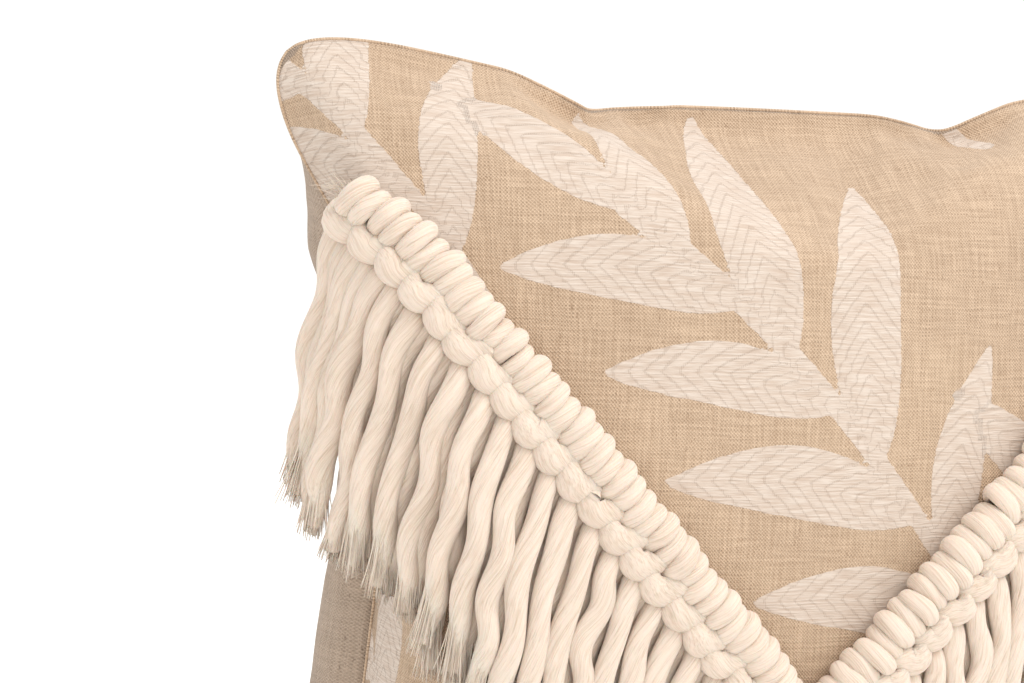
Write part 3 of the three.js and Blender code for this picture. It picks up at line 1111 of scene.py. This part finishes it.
@dataclass
class Zip:
    """The concealed zip in the lower seam."""

    seam_plane: float = 9.7
    half_length: float = 160.0
    tape: tuple = (1.2, 11.5, 5.3, 6.1)
    coil_reach: float = 2.5
    coil_pitch: float = 1.5

    def build(self) -> list[bpy.types.Object]:
        """Builds the tapes and the coils and finishes the metal parts, and returns the soft pieces.

        Returns:
            The tapes and the coils.
        """
        tape_cloth = Cotton("zip_tape_cloth", rgb(0.74, 0.65, 0.53), rgb(0.62, 0.53, 0.42)).make()
        nylon = Plain("nylon_coil", rgb(0.68, 0.58, 0.45), 0.45, grain=400.0).make()
        metal = Plain("nickel_plate", rgb(0.66, 0.64, 0.61), 0.34, 1.0, grain=1500.0, depth=0.00002).make()
        soft = []
        for name, facing in (("front", -1), ("back", 1)):
            tape = self._tape("tape_" + name, facing, tape_cloth)
            coil = self._coil("coil_" + name, facing, nylon)
            for piece, slot, node in ((tape, Slot.TAPE, "zip_tape_" + name),
                                      (coil, Slot.NYLON, "zip_teeth_" + name)):
                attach(piece, Body.COVER.value)
                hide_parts(node)
            soft += [tape, coil]
        for node in ("zip_bottom_stop", "zip_top_stop", "zip_slider", "zip_pull_tab"):
            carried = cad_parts[node]
            carried = carried if isinstance(carried, bpy.types.Object) else bpy.data.objects[node]
            carried.data.materials.clear()
            carried.data.materials.append(metal)
        log.info("zip: %d mm of coil on two tapes", 2 * self.half_length)
        return soft

    def _tape(self, name: str, facing: int, material: bpy.types.Material) -> bpy.types.Object:
        """One woven tape, ribbed along its length.

        Args:
            name: the piece's name.
            facing: -1 for the front and 1 for the back.
            material: what it is made of.

        Returns:
            The tape.
        """
        inner, outer, low, high = self.tape
        x = np.linspace(-self.half_length - 10, self.half_length + 10, 160)
        y = np.linspace(inner, outer, 22)
        rib = np.where(np.arange(22) % 2, 0.10, 0.0)
        grid = np.zeros((160, 22, 3))
        grid[..., 0] = x[:, None]
        grid[..., 1] = self.seam_plane + facing * y[None, :]
        grid[..., 2] = low + rib[None, :]
        shell = Shell()
        strand = np.stack([np.broadcast_to(y[None, :] * 0.9, (160, 22)), np.zeros((160, 22)),
                           np.broadcast_to(x[:, None], (160, 22))], -1)
        thick_sheet(shell, grid * MM, (high - low - 0.15) * MM, flip=facing < 0, strand=strand)
        tape = shell.build(name, material)
        low_z = min(v.co.z for v in tape.data.vertices)
        tape.data.transform(Matrix.Translation((0, 0, low * MM - low_z)))
        return tape

    def _coil(self, name: str, facing: int, material: bpy.types.Material) -> bpy.types.Object:
        """One side of the nylon coil: a flattened helix along the tape's edge.

        Args:
            name: the piece's name.
            facing: -1 for the front and 1 for the back.
            material: what it is made of.

        Returns:
            The coil.
        """
        turns = int(2 * self.half_length / self.coil_pitch)
        phase = np.linspace(0, turns * 2 * math.pi, turns * 10 + 1) + (math.pi if facing > 0 else 0.0)
        x = np.linspace(-self.half_length + 1, self.half_length - 1, len(phase))
        y = self.seam_plane + facing * (1.4 + 0.85 * np.cos(phase))
        z = 4.0 + 0.62 * np.sin(phase)
        line = np.stack([x, y, z], -1) * MM
        shell = Shell()
        thread(line, 0.3 * MM, np.array([1.0, 0.0, 0.0]), 6).add_to(shell)
        return shell.build(name, material)


@dataclass
class CareLabel:
    """A small folded satin label caught beside the back hem."""

    seam_plane: float = 9.7
    middle: float = 5.0
    half_depth: float = 0.4
    foot: float = 0.7
    top: float = 5.2

    def build(self) -> bpy.types.Object:
        """Builds the label round the place that the frame gives it.

        Returns:
            The label.
        """
        low, high = (np.array(corner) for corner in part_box("care_label"))
        satin = Plain("label_satin_weave", rgb(0.97, 0.97, 0.96), 0.4, grain=700.0).make()
        x = np.linspace(low[0], high[0], 31)
        turn = np.linspace(0, math.pi, 9)
        middle, half = (self.seam_plane + self.middle) * MM, self.half_depth * MM
        foot, top = self.foot * MM, self.top * MM
        drop = np.concatenate([np.linspace(top, foot + half, 5), foot + half - half * np.sin(turn),
                               np.linspace(foot + half, top, 5)])
        reach = np.concatenate([np.full(5, middle - half), middle - half * np.cos(turn),
                                np.full(5, middle + half)])
        wave = 0.12 * MM * np.sin(np.linspace(0, 9, 31))[:, None]
        grid = np.stack([np.broadcast_to(x[:, None], (31, 19)), reach[None] + wave,
                         np.broadcast_to(drop[None], (31, 19))], -1)
        shell = Shell()
        thick_sheet(shell, grid, 0.15 * MM, flip=False)
        label = shell.build("label_fold", satin)
        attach(label, Body.COVER.value)
        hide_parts("care_label")
        log.info("care label: %.0f mm long", (high[0] - low[0]) / MM)
        return label


# ---- Fringe ---------------------------------------------------------------------------------


@dataclass
class Fringe:
    """A V of folded cords, each knotted over a carrier cord that is sewn to the front."""

    form: CoverForm
    knots: int = 21
    apex: float = -50.0
    slope: float = 46.7
    apex_room: float = 12.0
    reach: float = 197.0
    carrier: float = 2.5
    wrap_place: float = 3.4
    tail_length: float = 105.0
    tail_width: float = 9.3
    tail_height: float = 7.0
    lean: float = -3.0
    fibres: int = 60
    seed: int = 7

    def __post_init__(self) -> None:
        """Sets up the random choices and the two layers that the tails lie in."""
        self.chance = np.random.default_rng(self.seed)
        near = self.form.relief.rolled(self.tail_height / 2 + 0.4)
        self.layers = (near, near - 6.4)
        self.stations = {arm: self._stations(arm) for arm in (-1, 1)}

    @property
    def length(self) -> float:
        """An arm's length on the flat cloth."""
        return self.reach / math.cos(math.radians(self.slope))

    def flat(self, arm: int, travel: float) -> tuple[float, float]:
        """The flat place at a distance up an arm: -1 for the left and 1 for the right."""
        angle = math.radians(self.slope)
        return arm * travel * math.cos(angle), self.apex + travel * math.sin(angle)

    def _stations(self, arm: int) -> np.ndarray:
        """Points and outward directions every 2 mm up an arm, evened out so that the band lies flat.

        Args:
            arm: -1 for the left and 1 for the right.

        Returns:
            Rows of a point and the direction out of the cloth.
        """
        rows = []
        for travel in np.arange(-40.0, self.length + 8, 2.0):
            s, t = self.flat(arm, abs(travel))
            s = s if travel >= 0 else -s
            rows.append(np.concatenate([self.form.at(s, t), self.form.outward(s, t)]))
        rows = np.array(rows)
        rows[:, 3:] = self._even(rows[:, 3:], 10)
        level = self._even(rows[:, :3], 6)
        proud = np.maximum(((rows[:, :3] - level) * rows[:, 3:]).sum(-1, keepdims=True), 0.0)
        rows[:, :3] = level + rows[:, 3:] * self._even(proud, 3)
        rows[:, 3:] = unit(rows[:, 3:])
        return rows

    @staticmethod
    def _even(rows: np.ndarray, reach: int) -> np.ndarray:
        """A running mean over `reach` rows each way, shorter near the ends."""
        total = len(rows)
        done = rows.copy()
        for k in range(total):
            span = min(reach, k, total - 1 - k)
            done[k] = rows[k - span : k + span + 1].mean(0)
        return done

    @property
    def pitch(self) -> float:
        """How far apart the knots stand along an arm, in millimetres."""
        return (self.length - self.apex_room - 8) / (self.knots - 1)

    def axes(self, arm: int, travel: float) -> tuple[np.ndarray, np.ndarray]:
        """A place on the band: its point, and the directions up the arm, across it and out.

        Args:
            arm: -1 for the left and 1 for the right.
            travel: how far along the arm from its apex, in millimetres.

        Returns:
            The point, then the three directions.
        """
        rows = self.stations[arm]
        place = np.clip((travel + 40.0) / 2.0, 1, len(rows) - 2.001)
        k = int(place)
        row = rows[k] * (1 - place + k) + rows[k + 1] * (place - k)
        here, out = row[:3], unit(row[3:])
        run = rows[min(k + 3, len(rows) - 1), :3] - rows[k - 2 if k > 21 else k, :3]
        up = unit(run - out * (run @ out))
        across = np.cross(up, out)
        if across[2] < 0:
            across = -across
        return here, np.stack([up, across, out])

    def build(self) -> list[bpy.types.Object]:
        """Builds the carrier, its stitches and every knotted cord, and returns them.

        Returns:
            The carrier, its stitches and the cords.
        """
        cotton = Cotton("brushed_cotton").make()
        carrier = self._carrier(cotton)
        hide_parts("carrier_cord")
        stitches = self._stitches(cotton)
        pieces = [carrier, stitches]
        for arm, side in ((-1, "left"), (1, "right")):
            for k in range(self.knots):
                name = f"{side}_{k + 1:02d}"
                cord = self._cord("fringe_" + name, arm, self.apex_room + k * self.pitch, k, cotton)
                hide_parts("fringe_cord_" + name)
                pieces.append(cord)
        for piece in pieces:
            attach(piece, Body.COVER.value)
        log.info("fringe: %d knots at %.1f mm", 2 * self.knots, self.pitch)
        return pieces

    def _carrier(self, cotton: bpy.types.Material) -> bpy.types.Object:
        """The cord that the knots are tied over, with its brushed ends at the side seams.

        Args:
            cotton: what it is made of.

        Returns:
            The carrier.
        """
        line = []
        for arm in (-1, 1):
            stops = np.arange(3.0, self.length + 3, 3.0)
            arm_line = []
            for travel in stops:
                here, axes = self.axes(arm, travel)
                arm_line.append(here + axes[1] * 2.4 * MM + axes[2] * 7.6 * MM)
            line += arm_line[::-1] if arm < 0 else arm_line
        line = np.array(line)
        shell = Shell()
        thread(line, self.carrier * MM, np.array([0.0, -1.0, 0.0]), 12).add_to(shell)
        for end, arm in ((0, -1), (-1, 1)):
            here, axes = self.axes(arm, self.length)
            for _ in range(26):
                start = line[end] + axes.T @ self.chance.normal(0, 1.6, 3) * MM
                aim = unit(axes[0] + axes[1] * self.chance.normal(0.2, 0.8)
                           + axes[2] * self.chance.normal(-0.1, 0.4))
                span = self.chance.uniform(5, 17) * MM
                steps = np.linspace(0, 1, 6)[:, None]
                sag = np.array([0.0, 0.0, -self.chance.uniform(0, 7) * MM])
                thread(start + aim * span * steps + sag * steps**2, 0.22 * MM, axes[2], 4, 0.4).add_to(shell)
        return shell.build("band_carrier", cotton)

    def _stitches(self, cotton: bpy.types.Material) -> bpy.types.Object:
        """Stitches that hold the carrier to the cloth between the knots.

        Args:
            cotton: what it is made of.

        Returns:
            The stitches.
        """
        shell = Shell()
        for arm in (-1, 1):
            for k in range(self.knots - 1):
                here, axes = self.axes(arm, self.apex_room + (k + 0.5) * self.pitch)
                turn = np.linspace(-0.35 * math.pi, 1.35 * math.pi, 12)
                local = np.stack([np.zeros(12), 2.4 + 2.9 * np.cos(turn), 7.6 + 2.9 * np.sin(turn)], -1)
                local = np.concatenate([[[0, 5.2, 0.3]], local, [[0, 0.8, 0.3]]])
                thread(here + local @ axes * MM, 0.35 * MM, axes[0], 6).add_to(shell)
        return shell.build("carrier_stitching", cotton)

    def _half(self, sign: int, tilt: float) -> np.ndarray:
        """Half of a knot from the bar's middle to where the tail leaves.

        Args:
            sign: 1 for the half towards the shoulder, -1 for the half towards the apex.
            tilt: how far the bar is turned, in radians.

        Returns:
            Rows of place (up the arm, across, out), width, height and width's direction.
        """
        w = self.wrap_place
        bar = sign * math.tan(tilt)
        rows = [
            (4.2 * sign, -6.6 - 4.2 * bar, 11.8 + 0.6 * sign, 11.6, 8.8, 0.25 * sign, 1, 0.15),
            (6.7 * sign, -3.4 - 6.6 * bar, 9.4 + 1.2 * sign, 8.8, 7.4, 0.7 * sign, 1, 0),
            (6.9 * sign, 0.2 - 4.5 * bar, 5.6, 6.2, 5.4, 1 * sign, 0.5, 0),
            (5.2 * sign, 4.0, 3.0, 6.0, 4.4, 1 * sign, 0.1, 0),
            (w * sign, 7.8, 3.2, 6.6, 4.8, sign, 0, 0),
            (w * sign * 1.03, 10.9, 7.0, 7.7, 6.8, sign, 0, 0),
            (w * sign * 1.05, 9.4, 11.9, 8.3, 7.8, sign, 0, 0),
            (w * sign * 1.02, 5.0, 14.2, 8.3, 7.8, sign, 0, 0),
            (w * sign * 0.92, -0.2, 12.4, 7.7, 7.0, sign, 0, 0),
            (w * sign * 0.82, -4.6, 7.2, 6.8, 5.2, sign, 0, 0),
            (w * sign * 0.95, -9.8, 4.8, 7.2, 5.8, sign, 0, 0),
        ]
        return np.array(rows)

    def _cord(self, name: str, arm: int, travel: float, number: int,
              cotton: bpy.types.Material) -> bpy.types.Object:
        """One folded cord: a tail, a wrap, the bar, the other wrap and the other tail.

        Args:
            name: the piece's name.
            arm: -1 for the left and 1 for the right.
            travel: how far along the arm from its apex, in millimetres.
            number: the knot's place along the arm.
            cotton: what it is made of.

        Returns:
            The cord.
        """
        here, axes = self.axes(arm, travel)
        tilt = math.radians(20 + self.chance.normal(0, 7))
        swell = 1 + self.chance.normal(0, 0.06)
        middle = np.array([[0.0, -8.2, 12.0, 13.0 * swell, 9.0, 0, 1, 0.15]])
        upper, lower = self._half(1, tilt), self._half(-1, tilt)
        for half, raised in ((upper, 0.7), (lower, -0.4)):
            shift, lift, lean, plump = self.chance.normal(0, (0.7, 0.4, 0.5, 0.05))
            wrap = half[4:9]
            wrap[:, 1] += shift + raised
            wrap[:, 2] += lift + raised
            wrap[:, 0] += lean * (wrap[:, 1] - 4) / 8
            wrap[:, 3:5] *= 1 + plump
        local = np.concatenate([lower[::-1], middle, upper])
        local[:, :3] += self.chance.normal(0, 0.3, (len(local), 3)) * (np.abs(local[:, :1]) > 0)
        world = here + local[:, :3] @ axes * MM
        wide = local[:, 5:8] @ axes
        wide[:8] *= -1.0
        tails = []
        for sign, exit_row, layer in ((-1, world[0], 1), (1, world[-1], 0)):
            tails.append(self._tail(exit_row, axes, layer, number + (0.5 if sign > 0 else 0.0), arm))
        first, last = tails[0][::-1], tails[1]
        rows = np.concatenate([world, local[:, 3:5] * MM, wide], 1)
        rows[:, 5:8] = self._aligned(rows[:, 5:8])
        lead = self._rows(first, rows[0, 5:8], True, 1.0)
        trail = self._rows(last, rows[-1, 5:8], False, 1.14)
        control = np.concatenate([lead, rows, trail])
        control[:, 5:8] = self._aligned(control[:, 5:8])
        spans = np.linalg.norm(np.diff(control[:, :3], axis=0), axis=1)
        course = spline(control, np.maximum(2, np.ceil(spans / (1.7 * MM))).astype(int))
        shell = Shell()
        Tube(course[:, :3], course[:, 3], course[:, 4], course[:, 5:8], 18, 3, 0.03, 105.0).add_to(
            shell, float(self.chance.uniform(0, 40)))
        for tail in tails:
            self._brush(shell, tail)
        return shell.build(name, cotton)

    @staticmethod
    def _aligned(sides: np.ndarray) -> np.ndarray:
        """Turns each direction over where it opposes the one before, since a section has two sides."""
        done = sides.copy()
        for k in range(1, len(done)):
            if done[k] @ done[k - 1] < 0:
                done[k] = -done[k]
        return done

    def _rows(self, tail: np.ndarray, side: np.ndarray, reverse: bool, spread: float) -> np.ndarray:
        """A tail's rows of place, width, height and width's direction, without its shared end.

        Args:
            tail: the tail's points, from the knot down.
            side: the direction of the section's width.
            reverse: set where the rows run up to the knot.
            spread: how much wider than usual the tail is.

        Returns:
            The rows.
        """
        points = tail[:-1] if reverse else tail[1:]
        count = len(points)
        share = np.linspace(1, 0, count + 1)[:-1] if reverse else np.linspace(0, 1, count + 1)[1:]
        thin = 1 - 0.45 * smooth(0.80, 1.0, share)
        wave = 1 + 0.09 * np.sin(share * 19 + points[:, 0] * 300)
        level = np.array([1.0, 0.0, 0.0]) * (1 if side[0] >= 0 else -1)
        turn = np.clip(share * 5, 0, 1)[:, None]
        wide = unit(side * (1 - turn) + level * turn)
        return np.concatenate([points, (self.tail_width * spread * thin * wave * MM)[:, None],
                               (self.tail_height * thin / wave * MM)[:, None], wide], 1)

    def _tail(self, start: np.ndarray, axes: np.ndarray, layer: int, number: float, arm: int) -> np.ndarray:
        """The middle line of one hanging tail.

        Args:
            start: where it leaves the knot.
            axes: the knot's directions.
            layer: 0 against the cloth, 1 over the first layer.
            number: its place along the arm, for the waves.
            arm: -1 for the left and 1 for the right.

        Returns:
            Points from the knot down.
        """
        length = self.tail_length + self.chance.normal(0, 3.5)
        step = 3.5
        count = int(length / step)
        place = start / MM
        aside = (1.0 if arm < 0 else 0.45) * min(1.0, number / 4)
        aim = -axes[1] * aside + np.array([0.0, 0.0, -0.35])
        aim = unit(np.array([aim[0], 0.0, aim[2]]))
        lean = math.radians(self.lean + self.chance.normal(0, 0.8))
        down = np.array([math.sin(lean), 0.0, -math.cos(lean)])
        phase = number * 0.5 + self.chance.normal(0, 0.8)
        span = 42 + self.chance.normal(0, 6)
        size = 1.6 + self.chance.normal(0, 0.5)
        points = [place.copy()]
        x, y, z = place
        front = y
        for k in range(1, count + 1):
            aim = unit(aim * 0.84 + down * 0.16)
            x += aim[0] * step
            z += aim[2] * step
            z = max(z, 4.0)
            sway = size * math.sin(k * step / span * 2 * math.pi + phase) * min(1.0, k / 6)
            rest = self.form.relief.read(self.layers[layer], x + sway, z)
            front = min(rest, front + 0.16 * step)
            ease = min(1.0, k / 4)
            y = place[1] * (1 - ease) + front * ease if k < 4 else front
            y += 0.5 * math.sin(k * step / span * 2 * math.pi * 1.3 + phase * 2) * (layer > 0) * ease
            points.append(np.array([x + sway, min(y, rest + 0.2), z]))
        line = np.array(points)
        soft = line.copy()
        for _ in range(2):
            soft[1:-1] = (soft[:-2] + 2 * soft[1:-1] + soft[2:]) / 4
        return soft * MM

    def _brush(self, shell: Shell, tail: np.ndarray) -> None:
        """The brushed end of a tail: fine fibres that flare from its last stretch.

        Args:
            shell: what the fibres are added to.
            tail: the tail's points, from the knot down.
        """
        back = 9
        root = tail[-back]
        tip = tail[-1]
        down = unit(tip - root)
        side = unit(np.cross(down, (0.0, 1.0, 0.0)))
        face = np.cross(down, side)
        span = np.linalg.norm(tip - root)
        for k in range(self.fibres):
            angle = k * 2.39996 + self.chance.normal(0, 0.2)
            inner = math.sqrt((k + 0.5) / self.fibres)
            flare = 1.0 + 0.6 * abs(self.chance.normal(0, 0.55))
            reach = span + self.chance.uniform(-1.0, 5.5) * MM
            steps = np.linspace(0, 1, 8)[:, None]
            spread = (side * math.cos(angle) * self.tail_width * 0.44
                      + face * math.sin(angle) * self.tail_height * 0.40)
            bend = unit(spread) * self.chance.normal(0.0, 1.1)
            line = root + down * reach * steps
            line = line + spread * inner * MM * (0.85 + 0.15 * steps + (flare - 1) * steps**2)
            line = line + bend * MM * steps**2
            line[:, 2] = np.maximum(line[:, 2], 0.6 * MM)
            tube = thread(line, self.chance.uniform(0.32, 0.55) * MM, side, 4, 0.35)
            tube.add_to(shell, float(self.chance.uniform(0, 40)))


# ---- Studio ---------------------------------------------------------------------------------


@dataclass
class Studio:
    """The floor, the lights and the camera."""

    place: tuple = (-0.455, -0.950, 0.4065)
    aim: tuple = (0.3385, 0.9300, -0.1433)
    roll: float = 4.2
    lens: float = 90.0
    surround: float = 1.07

    def build(self) -> None:
        """Builds the studio round the pillow."""
        shell = Shell()
        ruler = np.linspace(-6, 6, 9)
        x, y = np.meshgrid(ruler, ruler, indexing="ij")
        shell.add(np.stack([x, y, np.zeros_like(x)], -1), quads(9, 9))
        pale = Plain("pale_floor", rgb(0.99, 0.99, 0.985), 0.95, grain=0.5, depth=0.00001, dim=0.995)
        floor = shell.build("floor", pale.make())
        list(self._lights())
        self._camera()
        self._surround()
        log.info("studio: floor, lights and camera")

    def _lights(self) -> list[bpy.types.Object]:
        """A broad key from the upper left and a fill from the right.

        Returns:
            The lights.
        """
        lamps = []
        for name, place, size, power, tint in (
            ("key_light", (0.7, -0.9, 2.0), 1.1, 26.0, (1.0, 0.98, 0.95)),
            ("fill_light", (-1.6, -1.5, 1.2), 1.6, 2.0, (1.0, 0.97, 0.94)),
        ):
            lamp = bpy.data.lights.new(name, "AREA")
            lamp.size = size
            lamp.energy = power
            lamp.color = tint
            thing = bpy.data.objects.new(name, lamp)
            thing.location = place
            thing.rotation_mode = "QUATERNION"
            thing.rotation_quaternion = (Vector((0, 0, 0.2)) - Vector(place)).to_track_quat("-Z", "Y")
            bpy.context.scene.collection.objects.link(thing)
            lamps.append(thing)
        return lamps

    def _camera(self) -> None:
        """The camera, a little above the pillow's top and to its left."""
        lens = bpy.data.cameras.new("camera")
        lens.lens = self.lens
        lens.sensor_width = 36.0
        camera = bpy.data.objects.new("camera", lens)
        turn = Vector(self.aim).to_track_quat("-Z", "Y").to_matrix().to_4x4()
        roll = Matrix.Rotation(math.radians(self.roll), 4, "Z")
        camera.matrix_world = Matrix.Translation(self.place) @ turn @ roll
        bpy.context.scene.collection.objects.link(camera)
        bpy.context.scene.camera = camera

    def _surround(self) -> None:
        """An even pale surround, shown without any tone curve."""
        scene = bpy.context.scene
        scene.view_settings.view_transform = "Standard"
        world = bpy.data.worlds.new("surround")
        world.use_nodes = True
        backdrop = world.node_tree.nodes["Background"]
        backdrop.inputs[0].default_value = (1.0, 0.995, 0.985, 1.0)
        backdrop.inputs[1].default_value = self.surround
        scene.world = world


def main() -> None:
    logging.basicConfig(level=logging.INFO, format="%(message)s")
    form = CoverForm()
    cover = Cover(form)
    with_front = cover.build()
    casing_front, casing_back, _ = Insert(form).build()
    with_back = Zip().build() + [CareLabel().build()]
    with_front += Fringe(form).build()
    size = (form.side * MM, form.side * MM)
    Studio().build()


if __name__ == "__main__":
    main()
